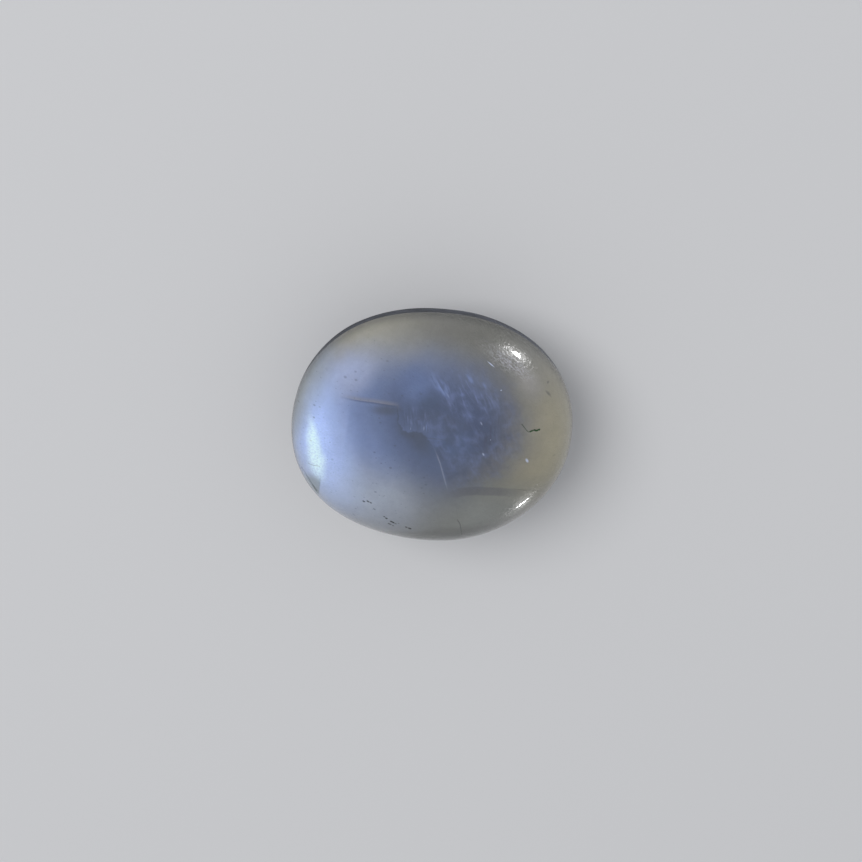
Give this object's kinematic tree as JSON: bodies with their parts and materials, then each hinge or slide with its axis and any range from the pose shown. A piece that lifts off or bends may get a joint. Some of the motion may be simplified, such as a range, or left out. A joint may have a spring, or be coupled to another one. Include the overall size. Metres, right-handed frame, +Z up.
{
  "type": "moonstone cabochon",
  "caption": "Polished oval moonstone cabochon with a pillow dome in front and a rounded back, lying on a small flat spot.",
  "frame": {"origin": "middle of the oval outline, on the flat spot that the stone rests on", "axes": "+X along the long axis of the oval, +Y along its short axis, +Z up through the dome"},
  "size_m": [0.014, 0.012, 0.0078],
  "materials": {
    "polished_moonstone": "high polish over milky, translucent grey with a blue sheen"
  },
  "bodies": {
    "root": {"moonstone": "polished_moonstone"}
  },
  "joints": []
}
